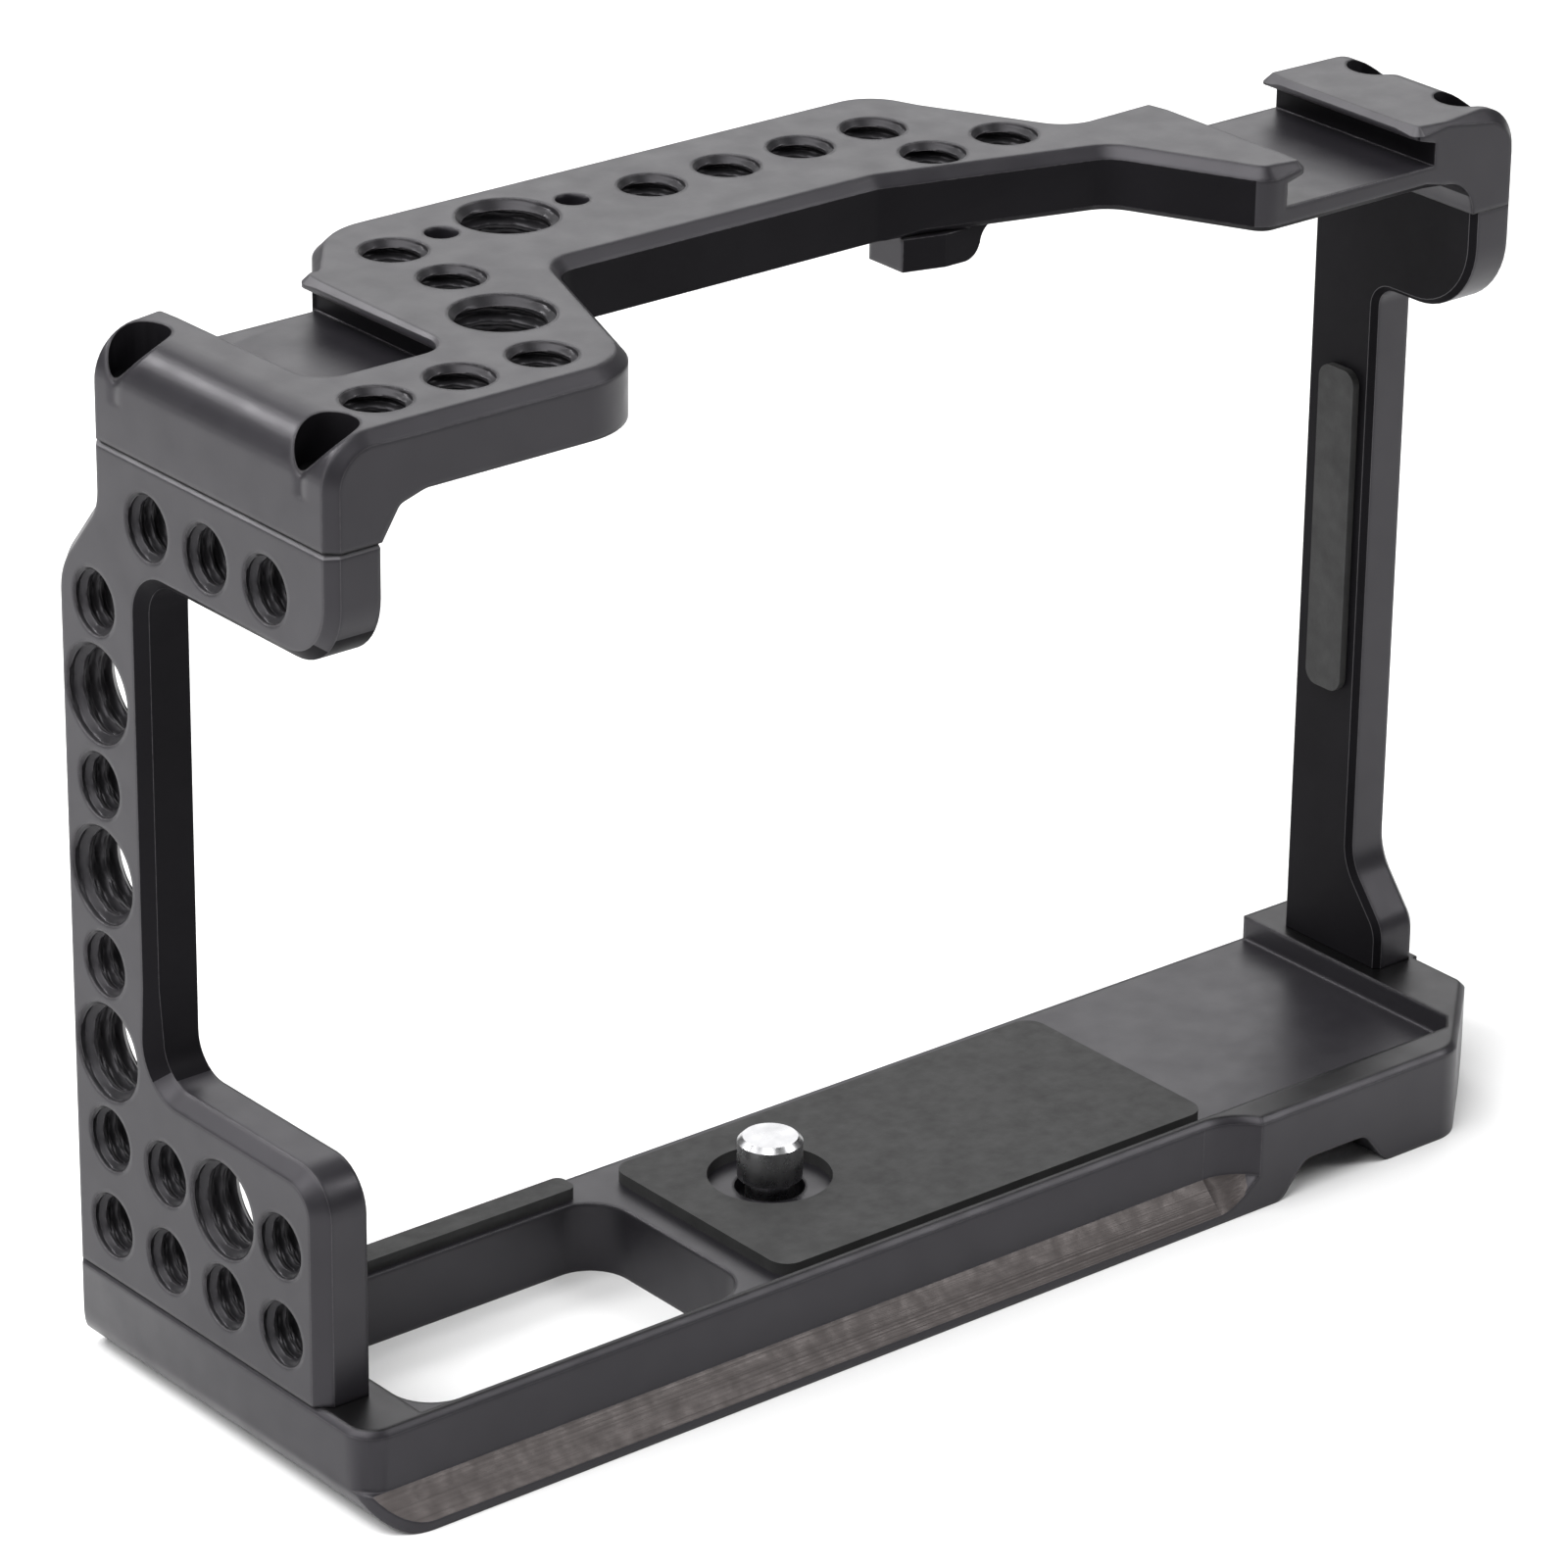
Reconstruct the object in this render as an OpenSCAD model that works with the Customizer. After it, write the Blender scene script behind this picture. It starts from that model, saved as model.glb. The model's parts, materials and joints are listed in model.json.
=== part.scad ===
// Camera cage milled from aluminium: a top plate, a left side plate, a right side bar and a bottom plate
// are screwed into a frame that the camera slides into. A captive screw holds the camera from below.
// The modules are drawn from the cage's left face (x), from the line of the left plate's front thread
// column (y, the lens side is +y) and from its underside (z). in_frame() moves them to the origin,
// which is the middle of the cage's footprint.

/* [Cage] */
// Width over both side faces
cage_w = 142.3; // [141.5:0.1:143.5]
// Height from the underside to the top face
cage_h = 102.4; // [101.5:0.1:104]
// Thickness of the left side plate
side_t = 5.2; // [5.0:0.1:5.4]
// Thickness of the right side bar
bar_t = 5.7; // [5.5:0.1:5.9]
// Radius along the outer long edges
outer_r = 4.7; // [3.5:0.1:4.9]
// Width of the small bright bevels at the seams
seam_bevel = 0.6; // [0.3:0.1:0.8]
// Width of the bevels that a hand touches
hand_bevel = 1.1; // [0.9:0.05:1.15]

/* [Top plate] */
// Thickness of the arm over the camera
arm_t = 6.2; // [6.0:0.1:6.5]
// Depth of the plate's feet, where it stands on the side pieces
foot_h = 10.0; // [9.8:0.1:10.2]
// Furthest point to the front
top_front = 8.5; // [8.3:0.1:8.7]
// Back face of the left end
ear_back = -35.6; // [-35.8:0.1:-35.3]

/* [Bottom plate] */
// Thickness of the bottom plate
base_t = 9.7; // [9.5:0.1:10]
// Back edge of the rail
rail_back = -41.4; // [-41.6:0.1:-41]
// Width of the rail, as clamps for camera plates take it
rail_w = 38.0; // [37.8:0.1:38.2]
// Height of the rail's lip
lip_h = 1.0; // [0.8:0.1:1.2]
// Depth of the groove over the lip, cut with a 45 degree flank
groove_d = 2.75; // [2.6:0.05:2.8]
// Height of the floor that the camera's pads lie on
floor_z = 7.2; // [7.1:0.1:7.4]

/* [Threaded holes] */
// Distance between neighbouring holes
pitch = 8.8; // [8.7:0.05:8.9]
// Radius of a 1/4 inch hole at its mouth
quarter_r = 3.2; // [3.15:0.05:3.25]
// Radius of a 3/8 inch hole at its mouth
three_eighth_r = 4.8; // [4.7:0.05:4.85]
// Radius of the holes for locating pins
pin_hole_r = 1.6; // [1.5:0.05:1.7]
// Height of the lowest row
row_z = 15.1; // [15:0.1:15.4]

/* [Cold shoes] */
// Width of the slot for an accessory's foot
shoe_w = 19.0; // [18.7:0.05:19.1]
// Height of the slot at its sides
shoe_h = 2.3; // [2.2:0.05:2.35]
// Thickness of the lips where they join the plate
shoe_lip = 1.7; // [1.6:0.05:1.75]
// Opening between the lips
shoe_gap = 14.1; // [13.6:0.1:14.4]

/* [Fasteners] */
// Radius of the joint screws' thread
screw_r = 1.5; // [1.4:0.05:1.5]
// Length of the top screws under the head
top_screw_len = 8.0; // [7.8:0.1:8.2]
// Length of the bottom screws under the head
low_screw_len = 6.0; // [5.8:0.1:6.1]
// Distance of the top left screws from the outer face
screw_inset = 2.9; // [2.85:0.05:2.95]
// Distance of the top right screws from the outer face
right_inset = 3.5; // [3.4:0.05:3.6]
// Radius of the bottom screws' thread
low_screw_r = 1.25; // [1.2:0.05:1.3]
// Radius of the locating pins
dowel_r = 1.0; // [0.8:0.1:1]

/* [Camera screw] */
// Place of the screw from the left face
cam_x = 62.0; // [60:0.5:64]
// Place of the screw from the front thread column
cam_y = -19.0; // [-20:0.5:-18]
// Radius of the 1/4 inch camera thread
cam_thread_r = 3.15; // [3.1:0.05:3.18]
// Radius of the screw's head
cam_head_r = 7.0; // [6.5:0.1:7.2]
// Radius of the folding ring, at the middle of its wire
ring_r = 8.6; // [8.5:0.1:8.8]
// Radius of the ring's wire
wire_r = 0.7; // [0.65:0.05:0.7]
// Thickness of the rubber pads on the floor
pad_t = 1.2; // [1.1:0.1:1.4]

/* [Hidden] */
$fn = 64;
e = 0.5;                                     // how far a cutter runs past a face
arc_n = 12;                                  // pieces in a rounded corner of an outline
middle_y = (rail_back + top_front) / 2;      // middle of the footprint from front to back
top_seam = cage_h - foot_h;                  // the top plate stands on this height
arm_z = cage_h - arm_t;                      // underside of the arm
wall_y = rail_back + groove_d;               // back wall over the rail
rail_front = rail_back + rail_w;
groove_z = lip_h + groove_d - 0.05;          // the flank ends here
cutter_r = 6;                                // radius of the groove's milling cutter
groove_end = 99.9;                           // the cutter's axis at the end of the groove
sweep_angle = acos((cutter_r - groove_d) / cutter_r);  // turn from the groove's wall to the back face
corner_r = 3;                                // upright corner over the left end of the rail
side_front = 6.2;                            // front edge of the left side plate
inner_arch = 4.2;                            // radius under the top plate's right end
right_back = -32.0;                          // back face of the right end
right_front = -10.1;
under_bevel = 0.6;                           // along the lower back edge of the arm
shoe_bevel = 0.5;                            // on the lips' edges
lip_tip = 1.0;                               // thickness of the lips at their edge
left_shoe = [15.1, -22.8];                   // middle of the slot, and where it ends
right_shoe = 121.45;                         // middle of the slot
bar_back = -19.2;                            // back edge of the right bar
leg_z = 81.3;                                // lower end of the bar's wide top
head_r = 2.65;
head_h = 2.0;
socket_r = 1.15;                             // over the corners of the 2 mm hexagon
counterbore_r = 2.75;
low_inset = 3.3;                             // bottom screws, from the outer face
low_head_r = 2.2;
low_socket_r = 0.87;
low_counterbore_r = 2.3;
top_seat = 96.4;                             // the top screws' heads rest here
low_seat = 5.5;                              // the bottom screws' heads rest here
top_left_y = [-4.0, -31.4];
top_right_y = [-15.4, -27.4];
bottom_left_y = [-1.9, -18.8];
bottom_right_y = [-14.2, -21.0];
top_left_dowel_y = [-12.9, -21.7];
top_right_dowel_y = -21.4;
bottom_left_dowel_y = [-10.2, -27.2];
bottom_right_dowel_y = -17.6;
dowel_len = 6.0;
dowel_top = 96.0;                            // upper end of the top pins
dowel_low = 5.6;                             // lower end of the bottom pins
recess_r = 10.0;                             // round recess under the camera screw
recess_z = 3.3;
washer_t = 0.5;
cam_head_z = 0.4;
ring_z = 1.6;                                // height of the ring's hinge
neck_r = 2.35;
clip_z = 3.8;
clip_t = 0.5;
clip_r = 4.2;
cam_hole_r = 3.4;
pads_z = floor_z + pad_t;                    // the camera's underside
thread_len = pads_z - clip_z - clip_t;       // the thread just fits between the clip and the camera
column = [quarter_r, quarter_r, three_eighth_r, quarter_r,
          three_eighth_r, quarter_r, three_eighth_r, quarter_r];

// ---- outlines with rounded corners ----

function unit(v) = v / norm(v);
function flat(p) = [p.x, p.y];

// points of the arc that rounds corner b between its neighbours a and c, with radius b[2]
function corner(a, b, c) =
    let (u = unit(flat(a) - flat(b)), v = unit(flat(c) - flat(b)), half = acos(u * v) / 2,
         middle = flat(b) + unit(u + v) * b[2] / sin(half),
         first = flat(b) + u * b[2] / tan(half) - middle,
         turn = (u.x * v.y - u.y * v.x > 0 ? -1 : 1) * (180 - 2 * half))
    [for (i = [0 : arc_n]) let (t = turn * i / arc_n)
        middle + [first.x * cos(t) - first.y * sin(t), first.x * sin(t) + first.y * cos(t)]];

// corners are [x, y, radius, bevel]; a radius of 0 keeps the corner sharp
function rounded(pts) = let (n = len(pts))
    [for (i = [0 : n - 1]) each pts[i][2] == 0 ? [flat(pts[i])]
        : corner(pts[(i + n - 1) % n], pts[i], pts[(i + 1) % n])];

// the bevel's width at each point that rounded() gives; it is c where a corner names none
function widths(pts, c) = [for (p = pts) each [for (i = [0 : p[2] == 0 ? 0 : arc_n]) p[3] == undef ? c : p[3]]];

// inward normal and mitre at point i of a path whose material lies on its right
function inward(path, i) =
    let (n = len(path), a = unit(path[max(i, 1)] - path[max(i, 1) - 1]),
         b = unit(path[min(i, n - 2) + 1] - path[min(i, n - 2)]), m = unit(a + b))
    [m.y, -m.x] / (m * b);

// ---- bevels ----

// a cutter that sweeps along an edge, by stations: a point of the edge, the ways into the material
// along the upper face and along the side face, and the bevel's width
module cutter(stations) {
    n = len(stations);
    past = 0.2;
    pts = [for (s = stations) each [
        s[0] + s[1] * (s[3] + past) - s[2] * past,
        s[0] - s[1] * past + s[2] * (s[3] + past),
        s[0] - s[1] * past - s[2] * past]];
    sides = [for (i = [0 : n - 2]) each [for (k = [0 : 2]) let (a = 3 * i + k, b = 3 * i + (k + 1) % 3)
        each [[a, b + 3, b], [a, a + 3, b + 3]]]];
    ends = [[0, 1, 2], [3 * n - 3, 3 * n - 1, 3 * n - 2]];
    polyhedron(points = pts, faces = concat(ends, sides));
}

// stations along the edge of an upright wall at height z; the wall goes down from it, or up with up = 1
function level(corners, c, z, up = -1) = let (path = rounded(corners), width = widths(corners, c))
    [for (i = [0 : len(path) - 1]) let (q = inward(path, i))
        [[path[i].x, path[i].y, z], [q.x, q.y, 0], [0, 0, up], width[i]]];

// stations from the seam up over a rounded end of the top plate; s is the way in from the end's
// outer face at x, d the way in from its front or back face at y
function over_end(x, s, y, d, c) = concat(
    [[[x, y, top_seam - 1], [0, d, 0], [s, 0, 0], c]],
    [for (i = [0 : arc_n - 1]) let (a = 90 * i / arc_n, r = outer_r)
        [[x + s * r * (1 - cos(a)), y, cage_h - r + r * sin(a)], [0, d, 0], [s * cos(a), 0, -sin(a)], c]]);

function reversed(v) = [for (i = [len(v) - 1 : -1 : 0]) v[i]];

// bevel along the upper edge of a plate whose top face is at z = 0
module bevel(corners, c) { cutter(level(corners, c, 0)); }

module in_frame() { translate([-cage_w / 2, -middle_y, 0]) children(); }

// turns an outline drawn as [z, y] into a plate of thickness t whose outer face is at x = 0
module side_plate(t) { translate([t, 0, 0]) rotate([0, -90, 0]) children(); }

// turns an outline drawn as [x, z] into a bar from y0 back to y1
module along_y(y0, y1) { translate([0, y0, 0]) rotate([90, 0, 0]) linear_extrude(y0 - y1) children(); }

module drill(p, r, z0, z1) { translate([p.x, p.y, z0]) cylinder(h = z1 - z0, r = r); }

module drill_side(y, z, r) { translate([-e, y, z]) rotate([0, 90, 0]) cylinder(h = side_t + 2 * e, r = r); }

// ---- top plate ----

front_edge = [
    [0, 0, 0], [24.0, 0, 0.3, 0.8], [30.1, top_front, 9.0], [94.8, top_front, 6.0],
    [97.1, 2.6, 1.5], [103.9, right_front, 3.5], [cage_w, right_front, 0]
];
back_edge = [
    [cage_w, right_back, 0], [109.3, right_back, 2.5], [102.4, -18.0, 4.0], [79.5, -11.6, 3.0],
    [42.2, -11.6, 3.0], [33.3, ear_back, 8.2, 1.2], [0, ear_back, 0]
];

module top_profile() {
    polygon(rounded([
        [0, top_seam, 0], [0, cage_h, outer_r], [cage_w, cage_h, outer_r], [cage_w, top_seam, 0],
        [cage_w - bar_t - 0.2, top_seam, 0], [cage_w - bar_t - 0.2, arm_z, inner_arch - 0.4],
        [10.0, arm_z, 3], [7.3, arm_z - 0.8, 1.2], [side_t + 0.2, top_seam, 0]]));
}

// slot under the lips, with an underside that rises to their edge
module shoe_slot(x, y0, y1) {
    half = shoe_w / 2;
    gap = shoe_gap / 2;
    root = cage_h - shoe_lip;
    along_y(y0, y1) translate([x, 0]) polygon([
        [-half, root - shoe_h], [half, root - shoe_h], [half, root], [gap - 0.1, cage_h - lip_tip],
        [-gap + 0.1, cage_h - lip_tip], [-half, root]]);
}

// opening between the lips, drawn in plan
module shoe_mouth(corners) {
    z0 = cage_h - lip_tip - shoe_h / 2;
    translate([0, 0, z0]) linear_extrude(cage_h - z0 + e) polygon(rounded(corners));
}

// the edges of the lips, from the opening's front to its back or the other way
left_lip_x = left_shoe.x - shoe_gap / 2;
right_lip_x = left_shoe.x + shoe_gap / 2;
inner_lip_x = right_shoe - shoe_gap / 2;
outer_lip_x = right_shoe + shoe_gap / 2;
lip_r = 1.1;
// the right lip ends on the line of the arm's slanted front corner

// top edge of the arm and both shoes' inner lips, all round from the left end's front to its back
arm_top = concat(
    [[outer_r, 0, 0], [left_lip_x, 0, 0.9, 0.65], [left_lip_x, -3, 0, shoe_bevel],
     [left_lip_x, left_shoe.y, 3, 0.3], [right_lip_x, left_shoe.y, 3, 0.3],
     [right_lip_x, -3, 0, shoe_bevel], [right_lip_x, 0, 1.5, 0.65]],
    [for (i = [1 : 5]) front_edge[i]],
    [[inner_lip_x, right_front, lip_r, 0.85], [inner_lip_x, right_front - 3, 0, shoe_bevel],
     [inner_lip_x, right_back + 3, 0, shoe_bevel], [inner_lip_x, right_back, 0.9, 0.65]],
    [for (i = [1 : 5]) back_edge[i]], [[9, ear_back, 0, 1.2], [outer_r, ear_back, 0]]);
// top edge of the right shoe's outer lip, from the right end's back to its front
outer_lip_top = [
    [cage_w - outer_r, right_back, 0], [132.6, right_back, 0, 0.3], [outer_lip_x, right_back, 1.0, 0.75],
    [outer_lip_x, right_back + 3, 0, shoe_bevel], [outer_lip_x, right_front - 3, 0, shoe_bevel],
    [outer_lip_x, right_front, lip_r, 0.85], [cage_w - outer_r, right_front, 0]];

quarter_holes = [
    [61.8, -0.5], [70.6, -0.5], [79.4, -0.5], [88.2, -0.5], [88.2, -9.15], [97.0, -9.15],
    [32.6, -0.4], [32.6, -9.1], [9.5, -29.3], [18.3, -29.3], [27.1, -29.3]
];
three_eighth_holes = [[46.2, 0.7], [30.6, -19.1]];
pin_holes = [[38.8, 0.7], [53.6, 0.7]];

// lower back edge, from the right end's arch to the tab; the bevel runs out at both ends
arm_under = [
    [cage_w - 9.9, right_back, 0, 0.05], [cage_w - 12.2, right_back, 0], back_edge[1], back_edge[2],
    [84.1, -12.89, 0], [80.6, -11.91, 0, 0.05]];

module top_plate() {
    c = hand_bevel;
    color("#2b2a2d") difference() {
        intersection() {
            union() {
                along_y(top_front + e, ear_back - e) top_profile();
                // tab that drops behind the viewfinder's hump
                along_y(-7.5, -13.5) polygon(rounded([
                    [82.1, arm_z + e, 0], [94.0, arm_z + e, 0], [94.0, arm_z, 0], [90.5, arm_z, 2.0],
                    [90.5, 92.8, 1.9], [82.1, 92.8, 0]]));
            }
            translate([0, 0, top_seam - 2 * e])
                linear_extrude(foot_h + 4 * e) polygon(rounded(concat(front_edge, back_edge)));
        }
        shoe_slot(left_shoe.x, e, left_shoe.y - 0.05);
        shoe_slot(right_shoe, right_front + e, right_back - e);
        shoe_mouth([
            [left_lip_x, left_shoe.y, 3], [left_lip_x, 0.01, 0.9], [left_lip_x - 2, 0.01, 0],
            [left_lip_x - 2, 2, 0], [right_lip_x + 1.6, 2, 0], [right_lip_x + 1.6, 0.01, 0],
            [right_lip_x, 0.01, 1.5], [right_lip_x, left_shoe.y, 3]]);
        shoe_mouth([
            [inner_lip_x, right_back - 0.01, 0.9], [inner_lip_x, right_front + 0.01, lip_r],
            [inner_lip_x - 2, right_front + 0.01, 0], [inner_lip_x - 2, right_front + 2, 0],
            [outer_lip_x + 2, right_front + 2, 0], [outer_lip_x + 2, right_front + 0.01, 0],
            [outer_lip_x, right_front + 0.01, lip_r], [outer_lip_x, right_back - 0.01, 1.0],
            [outer_lip_x + 2, right_back - 0.01, 0], [outer_lip_x + 2, right_back - 2, 0],
            [inner_lip_x - 2, right_back - 2, 0], [inner_lip_x - 2, right_back - 0.01, 0]]);
        cutter(concat(over_end(0, 1, 0, -1, c), level(arm_top, c, cage_h),
            reversed(over_end(0, 1, ear_back, 1, c))));
        cutter(concat(over_end(cage_w, -1, right_back, 1, c), level(outer_lip_top, c, cage_h),
            reversed(over_end(cage_w, -1, right_front, -1, c))));
        cutter(reversed(level(arm_under, under_bevel, arm_z, 1)));
        for (p = quarter_holes) drill(p, quarter_r, arm_z - e, cage_h + e);
        for (p = three_eighth_holes) drill(p, three_eighth_r, arm_z - e, cage_h + e);
        for (p = pin_holes) drill(p, pin_hole_r, arm_z - e, cage_h + e);
        for (y = top_left_y) top_screw_hole([screw_inset, y]);
        for (y = top_right_y) top_screw_hole([cage_w - right_inset, y]);
        top_left_pins();
        top_right_pin();
    }
}

// clearance holes with a counterbore, from above and from below
module top_screw_hole(p) {
    drill(p, screw_r + 0.1, top_seam - e, top_seat + e);
    drill(p, counterbore_r, top_seat, cage_h + e);
}
module low_screw_hole(p) {
    drill(p, low_screw_r + 0.1, low_seat - e, base_t + e);
    drill(p, low_counterbore_r, -e, low_seat);
}

// ---- left side plate ----

block_top = 32.3;
block_back = -32.3;
window_front = -7.0;
window_top = 81.0;
// drawn as [z, y, radius, bevel], the material lies on the right; the block's edge is softer
window_edge = [
    [top_seam, ear_back, 0], [window_top, ear_back, 6.5], [window_top, window_front, 3.6],
    [block_top, window_front, 3.8, 1.4], [block_top, block_back, 4.4, 1.4], [base_t, block_back, 0]
];
lens_edge = [[base_t, side_front, 0], [78.7, side_front, 7.0], [86.2, 0, 4.0], [top_seam, 0, 0]];

module left_side_plate() {
    c = hand_bevel - 0.05;
    inner_path = [
        [top_seam + 1, ear_back, 0], window_edge[1], window_edge[2], [block_top + 9, window_front, 0],
        window_edge[3], window_edge[4], [base_t - 1, block_back, 0, 1.4]];
    outer_path = [[base_t - 1, side_front, 0], lens_edge[1], lens_edge[2], [top_seam + 1, 0, 0]];
    color("#2b2a2d") difference() {
        side_plate(side_t) difference() {
            linear_extrude(side_t) polygon(rounded(concat(window_edge, lens_edge)));
            translate([0, 0, side_t]) bevel(inner_path, c);
            translate([0, 0, side_t]) bevel(outer_path, c);
        }
        // along the seam, on the back face and on the outer face
        translate([0, 0, top_seam]) bevel([
            [side_t + e, ear_back, 0, 0.4], [c, ear_back, 0, 0.45], [0, ear_back + c, 0], [0, e, 0]], seam_bevel);
        for (k = [0 : 7]) drill_side(0, row_z + k * pitch, column[k]);
        for (k = [1 : 3]) drill_side(-k * pitch, row_z, quarter_r);
        for (k = [1 : 3]) drill_side(-k * pitch, row_z + pitch, k == 2 ? three_eighth_r : quarter_r);
        for (k = [0 : 2]) drill_side(-8.5 - k * pitch, 86.4, quarter_r);
        top_left_threads();
        bottom_left_threads();
        top_left_pins();
        bottom_left_pins();
    }
}

// ---- right side bar ----

flare_back = -24.0;
// drawn as [z, y, radius], the material lies on the right
bar_edge = [
    [top_seam, right_back, 0], [leg_z, right_back, 7.5], [leg_z, bar_back, 2.0], [20.0, bar_back, 6.0],
    [14.0, flare_back, 4.0], [base_t, flare_back, 0]
];

module right_side_bar() {
    color("#2b2a2d") difference() {
        translate([cage_w - bar_t, 0, 0]) side_plate(bar_t) linear_extrude(bar_t)
            polygon(rounded(concat(bar_edge, [[base_t, right_front, 0], [top_seam, right_front, 0]])));
        translate([cage_w, 0, 0]) mirror([1, 0, 0]) side_bevels(hand_bevel);
        translate([cage_w - bar_t, 0, 0]) side_bevels(seam_bevel);
        top_right_threads();
        bottom_right_threads();
        top_right_pin();
        bottom_right_pin();
    }
}

// bevels along the bar's back and front edges, cut into a face at x = 0
module side_bevels(c) {
    rotate([0, -90, 0]) {
        bevel(concat([[top_seam + 1, right_back, 0]], [for (i = [1 : 4]) bar_edge[i]],
            [[base_t - 1, flare_back, 0]]), c);
        bevel([[base_t - 1, right_front, 0], [top_seam + 1, right_front, 0]], c);
    }
}

// ---- bottom plate ----

base_outline = [
    [0, side_front - 1, 0], [1, side_front, 0], [11.0, side_front, 1.5], [14.5, rail_front, 2.5],
    [cage_w, rail_front, 3.0], [cage_w, -31.0, 1.5], [130.9, rail_back, 4.5], [0, rail_back, 5.7]
];

// groove beside the rail: a prism and, where the cut ends, the shape of the milling cutter
module groove(x0, x1) {
    foot = groove_z - lip_h + e;                 // the flank runs on past the lip's edge
    profile = [[0, groove_z], [0, base_t + e], [-20, base_t + e], [-20, groove_z - foot],
               [-foot, groove_z - foot]];
    translate([x0, 0, 0]) rotate([90, 0, 90]) linear_extrude(x1 - x0) polygon(profile);
}

module groove_cutter(x, y) {
    foot = groove_z - lip_h + e;
    translate([x, y, 0]) rotate_extrude() polygon([
        [0, groove_z - foot], [cutter_r - foot, groove_z - foot], [cutter_r, groove_z],
        [cutter_r, base_t + e], [0, base_t + e]]);
}

module bottom_plate() {
    lip_in = wall_y + 1.05;
    color("#2b2a2d") difference() {
        intersection() {
            along_y(side_front + e, rail_back - e)
                polygon(rounded([[0, 0, outer_r], [0, base_t, 0], [cage_w, base_t, 0], [cage_w, 0, outer_r]]));
            translate([0, 0, -e]) linear_extrude(base_t + 2 * e) polygon(rounded(base_outline));
        }
        // rail: back groove from the left end, front groove to the right end
        translate([0, wall_y, 0]) groove(-e, groove_end);
        groove_cutter(groove_end, wall_y - cutter_r - 0.02);
        translate([0, rail_front - groove_d, 0]) mirror([0, 1, 0]) groove(24, cage_w + e);
        groove_cutter(24, rail_front - groove_d + cutter_r + 0.02);
        // rounded upright corner over the left end of the rail
        translate([0, 0, groove_z]) linear_extrude(base_t) polygon(concat(
            [[corner_r, wall_y - e], [-e, wall_y - e], [-e, wall_y + corner_r]],
            corner([0, 0, 0], [0, wall_y, corner_r], [9, wall_y, 0])));
        floor_pocket(lip_in);
        // opening in the floor
        translate([0, 0, -e]) linear_extrude(base_t + 2 * e)
            polygon(rounded([[9.7, -34.0, 4.4], [48.0, -34.0, 4.4], [48.0, -10.5, 4.4], [9.7, -10.5, 4.4]]));
        // arch across the underside near the right end
        along_y(side_front, rail_back - e) polygon(rounded([
            [100, -0.02, 0], [107.9, -0.02, 2.0], [110.9, 3.62, 2.0], [118.9, 3.62, 2.0],
            [121.9, -0.02, 2.0], [130, -0.02, 0], [130, -3, 0], [100, -3, 0]]));
        base_bevel();
        for (y = bottom_left_y) low_screw_hole([low_inset, y]);
        for (y = bottom_right_y) low_screw_hole([cage_w - low_inset, y]);
        bottom_left_pins();
        bottom_right_pin();
        // bore, clip groove and recess of the camera screw
        drill([cam_x, cam_y], cam_hole_r, 0, base_t);
        drill([cam_x, cam_y], recess_r, -e, recess_z);
        drill([cam_x, cam_y], clip_r, clip_z, clip_z + clip_t);
    }
}

module floor_pocket(lip_in) {
    translate([0, 0, floor_z]) linear_extrude(base_t) polygon([
        [7.0, lip_in], [133.2, lip_in], [135.0, lip_in + 1.8], [135.0, side_front + e],
        [7.0, side_front + e]]);
}

// one bevel runs from the right end round the cut corner, along the back and over the left end
module base_bevel() {
    sweep = [for (i = [arc_n : -1 : 0]) let (a = 90 - i * sweep_angle / arc_n)
        [groove_end + cutter_r * cos(a), wall_y - cutter_r + cutter_r * sin(a), 0]];
    translate([0, 0, base_t]) bevel(concat([[cage_w, -24, 0], base_outline[5], base_outline[6],
        [125, rail_back, 0]], sweep, [[30, wall_y, 0], [0, wall_y, corner_r], [0, side_front + 1, 0]]), seam_bevel);
}

// ---- joints: threads, screws and pins ----

module top_left_threads() { for (y = top_left_y) drill([screw_inset, y], screw_r, top_seat - top_screw_len, 93); }
module top_right_threads() {
    for (y = top_right_y) drill([cage_w - right_inset, y], screw_r, top_seat - top_screw_len, 93);
}
module bottom_left_threads() {
    for (y = bottom_left_y) drill([low_inset, y], low_screw_r, 9, low_seat + low_screw_len);
}
module bottom_right_threads() {
    for (y = bottom_right_y) drill([cage_w - low_inset, y], low_screw_r, 9, low_seat + low_screw_len);
}
module top_left_pins() {
    for (y = top_left_dowel_y) drill([side_t / 2, y], dowel_r, dowel_top - dowel_len, dowel_top);
}
module top_right_pin() {
    drill([cage_w - bar_t / 2, top_right_dowel_y], dowel_r, dowel_top - dowel_len, dowel_top);
}
module bottom_left_pins() {
    for (y = bottom_left_dowel_y) drill([side_t / 2, y], dowel_r, dowel_low, dowel_low + dowel_len);
}
module bottom_right_pin() {
    drill([cage_w - bar_t / 2, bottom_right_dowel_y], dowel_r, dowel_low, dowel_low + dowel_len);
}

// low-head socket screw that points down, with its seat at z = 0
module cap_screw(length, r, head, socket) {
    difference() {
        union() {
            translate([0, 0, -length]) cylinder(h = length + 0.3, r = r);
            cylinder(h = head_h - 0.3, r = head);
            translate([0, 0, head_h - 0.3]) cylinder(h = 0.3, r1 = head, r2 = head - 0.3);
        }
        translate([0, 0, head_h - 1.3]) cylinder(h = 1.3 + e, r = socket, $fn = 6);
    }
}

module top_screw(x, y) {
    color("#1c1c1e") translate([x, y, top_seat]) cap_screw(top_screw_len, screw_r, head_r, socket_r);
}
module low_screw(x, y) {
    color("#1c1c1e") translate([x, y, low_seat]) mirror([0, 0, 1])
        cap_screw(low_screw_len, low_screw_r, low_head_r, low_socket_r);
}

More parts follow.
